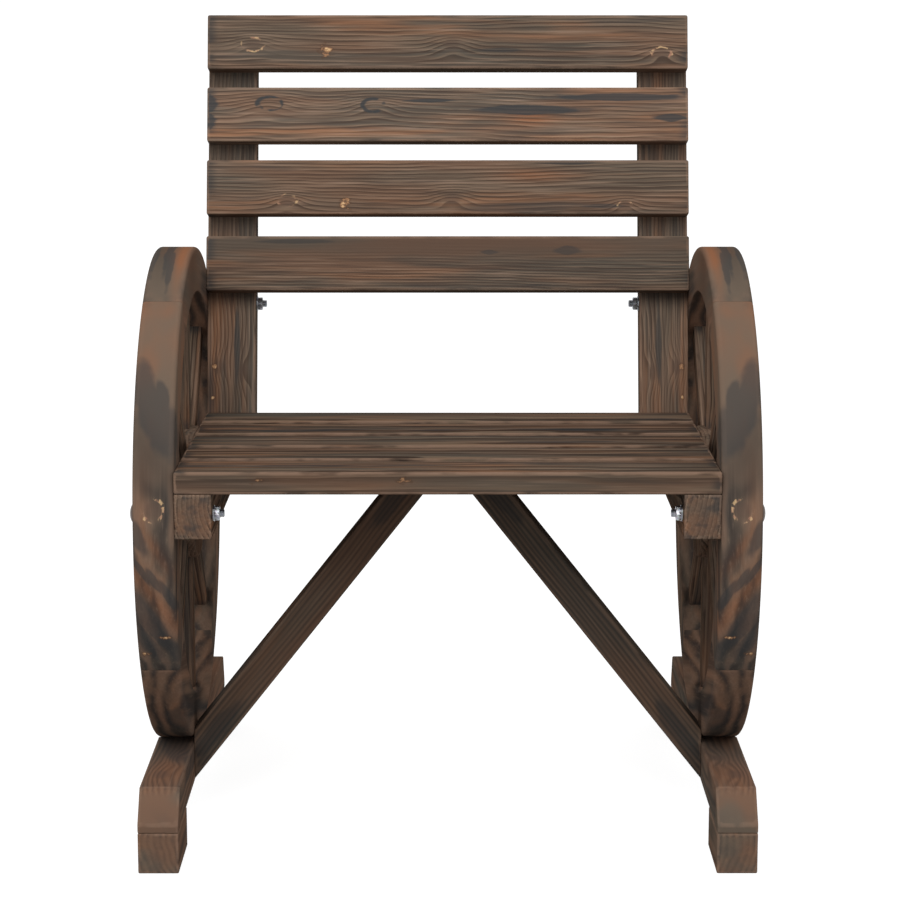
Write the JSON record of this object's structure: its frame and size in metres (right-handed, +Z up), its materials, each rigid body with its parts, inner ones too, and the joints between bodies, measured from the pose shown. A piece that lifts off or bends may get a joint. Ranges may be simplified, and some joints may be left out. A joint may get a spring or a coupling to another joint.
{
  "type": "garden armchair",
  "caption": "Rustic wooden garden armchair with wagon-wheel sides on foot beams, slatted seat, leaning slatted back and slanting braces under the seat.",
  "frame": {"origin": "on the floor under the centre of the two wheels", "axes": "+X to the right as seen from the front, +Y from the front to the back, +Z up"},
  "size_m": [0.617, 0.541, 0.8256],
  "materials": {
    "dark_stained_fir": "dark brown stain, satin",
    "plain_dowel_wood": "raw",
    "zinc_plated_steel": "zinc plated"
  },
  "bodies": {
    "root": {"back_post_bolts": "zinc_plated_steel", "back_slat_1": "dark_stained_fir", "back_slat_2": "dark_stained_fir", "back_slat_3": "dark_stained_fir", "back_slat_4": "dark_stained_fir", "back_slat_screws": "zinc_plated_steel", "bolt_nuts": "zinc_plated_steel", "bolt_washers": "zinc_plated_steel", "brace_screws": "zinc_plated_steel", "felloe_dowels": "plain_dowel_wood", "foot_pad_screws": "zinc_plated_steel", "left_back_post": "dark_stained_fir", "left_brace": "dark_stained_fir", "left_foot_beam": "dark_stained_fir", "left_front_foot_pad": "dark_stained_fir", "left_rear_foot_pad": "dark_stained_fir", "left_seat_rail": "dark_stained_fir", "left_wheel_felloe_1": "dark_stained_fir", "left_wheel_felloe_2": "dark_stained_fir", "left_wheel_felloe_3": "dark_stained_fir", "left_wheel_felloe_4": "dark_stained_fir", "left_wheel_hub": "dark_stained_fir", "left_wheel_spoke_1": "dark_stained_fir", "left_wheel_spoke_2": "dark_stained_fir", "left_wheel_spoke_3": "dark_stained_fir", "left_wheel_spoke_4": "dark_stained_fir", "left_wheel_spoke_5": "dark_stained_fir", "left_wheel_spoke_6": "dark_stained_fir", "left_wheel_spoke_7": "dark_stained_fir", "left_wheel_spoke_8": "dark_stained_fir", "post_rail_screws": "zinc_plated_steel", "rail_hub_screws": "zinc_plated_steel", "right_back_post": "dark_stained_fir", "right_brace": "dark_stained_fir", "right_foot_beam": "dark_stained_fir", "right_front_foot_pad": "dark_stained_fir", "right_rear_foot_pad": "dark_stained_fir", "right_seat_rail": "dark_stained_fir", "right_wheel_felloe_1": "dark_stained_fir", "right_wheel_felloe_2": "dark_stained_fir", "right_wheel_felloe_3": "dark_stained_fir", "right_wheel_felloe_4": "dark_stained_fir", "right_wheel_hub": "dark_stained_fir", "right_wheel_spoke_1": "dark_stained_fir", "right_wheel_spoke_2": "dark_stained_fir", "right_wheel_spoke_3": "dark_stained_fir", "right_wheel_spoke_4": "dark_stained_fir", "right_wheel_spoke_5": "dark_stained_fir", "right_wheel_spoke_6": "dark_stained_fir", "right_wheel_spoke_7": "dark_stained_fir", "right_wheel_spoke_8": "dark_stained_fir", "seat_rail_bolts": "zinc_plated_steel", "seat_slat_1": "dark_stained_fir", "seat_slat_2": "dark_stained_fir", "seat_slat_3": "dark_stained_fir", "seat_slat_4": "dark_stained_fir", "seat_slat_5": "dark_stained_fir", "seat_slat_screws": "zinc_plated_steel", "wheel_foot_screws": "zinc_plated_steel"}
  },
  "joints": []
}
